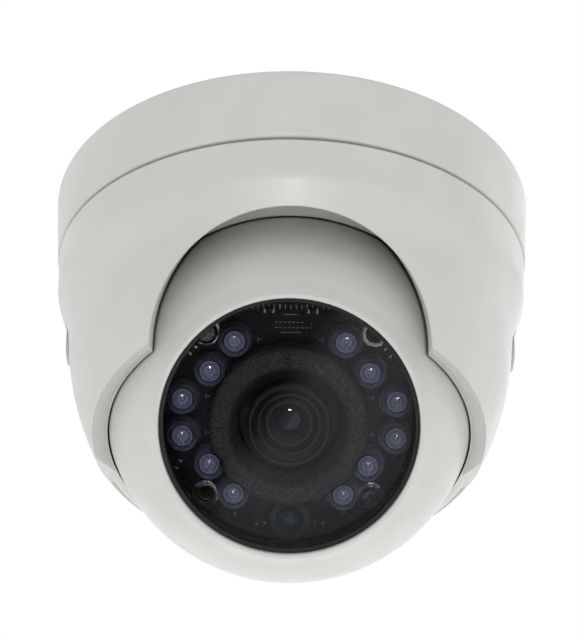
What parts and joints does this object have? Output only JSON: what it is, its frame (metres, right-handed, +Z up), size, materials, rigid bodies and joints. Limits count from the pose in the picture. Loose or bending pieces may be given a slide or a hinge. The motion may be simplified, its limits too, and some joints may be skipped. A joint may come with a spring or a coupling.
{
  "type": "turret dome camera",
  "caption": "Ceiling turret security camera: round base, panning shell with an arched opening, and a tilting, rolling ball with a flat window over infrared lamps and a lens.",
  "frame": {"origin": "centre of the circle of ceiling screws, in the base's ceiling face", "axes": "+Z up into the ceiling, -Y the way the camera faces at rest, +X to the right seen from behind -Y looking along +Y"},
  "size_m": [0.0896, 0.0896, 0.0698],
  "materials": {
    "white_paint": "satin powder coat",
    "plug_paint": "smooth",
    "gasket_foam": "closed cell",
    "nylon": "smooth",
    "bright_steel": "zinc plated",
    "cast_alloy": "die cast",
    "felt": "pressed felt",
    "black_rubber": "smooth",
    "window_glass": "polished",
    "black_plastic": "fine texture",
    "black_board": "solder mask",
    "green_board": "solder mask",
    "sensor_dome": "moulded",
    "shade_foam": "open cell",
    "lens_coating": "coated",
    "lock_brass": "machined",
    "stud_brass": "nickel free",
    "filter_glass": "coated",
    "chip": "smooth",
    "cream_plastic": "moulded",
    "ribbon": "flat",
    "led_epoxy": "clear tinted"
  },
  "bodies": {
    "base": {"base_housing": "white_paint", "ceiling_gasket": "gasket_foam", "pan_washer": "nylon", "pan_retainer": "bright_steel", "retainer_screws": "bright_steel"},
    "turret": {"inner_frame": "cast_alloy", "turret_shell": "white_paint", "shell_screws": "bright_steel", "plug_left": "plug_paint", "plug_right": "plug_paint", "tilt_pin_left": "bright_steel", "tilt_pin_right": "bright_steel", "lip_ring": "felt"},
    "yoke": {"tilt_yoke": "bright_steel"},
    "ball": {"ball_front": "white_paint", "ball_rear": "white_paint", "ball_seal": "black_rubber", "ball_screws": "bright_steel", "stem_nut": "bright_steel", "wave_washer": "bright_steel", "cable_grommet": "black_rubber", "front_window": "window_glass", "window_gasket": "black_rubber", "window_retainer": "black_plastic", "led_board": "black_board", "light_sensor": "sensor_dome", "sensor_holder": "black_plastic", "foam_shade": "shade_foam", "lens_barrel": "black_plastic", "lens_glass": "lens_coating", "lens_lock_ring": "lock_brass", "lens_holder": "black_plastic", "ir_cut_housing": "black_plastic", "image_sensor": "chip", "main_board": "green_board", "power_board": "green_board", "led_standoffs": "stud_brass", "rear_standoffs": "stud_brass", "led_board_screws": "bright_steel", "main_board_screws": "bright_steel", "board_connectors": "cream_plastic", "board_link": "ribbon", "ir_led_1": "led_epoxy", "ir_led_2": "led_epoxy", "ir_led_3": "led_epoxy", "ir_led_4": "led_epoxy", "ir_led_5": "led_epoxy", "ir_led_6": "led_epoxy", "ir_led_7": "led_epoxy", "ir_led_8": "led_epoxy", "ir_led_9": "led_epoxy", "ir_led_10": "led_epoxy", "ir_led_11": "led_epoxy", "ir_led_12": "led_epoxy"},
    "filter": {"ir_cut_filter": "filter_glass"}
  },
  "joints": [
    {"name": "pan", "type": "hinge", "parent": "base", "child": "turret", "pos_m": [0, 0, -0.006], "axis": [0, 0, 1], "range_deg": [-175, 175]},
    {"name": "tilt", "type": "hinge", "parent": "turret", "child": "yoke", "pos_m": [0, 0, -0.0368], "axis": [1, 0, 0], "range_deg": [-20, 51]},
    {"name": "roll", "type": "hinge", "parent": "yoke", "child": "ball", "pos_m": [0, 0, -0.0368], "axis": [0, -0.7793, -0.6266], "range_deg": [-170, 170]},
    {"name": "filter_shift", "type": "slide", "parent": "ball", "child": "filter", "axis": [1, 0, 0], "range_m": [0, 0.0062]}
  ]
}
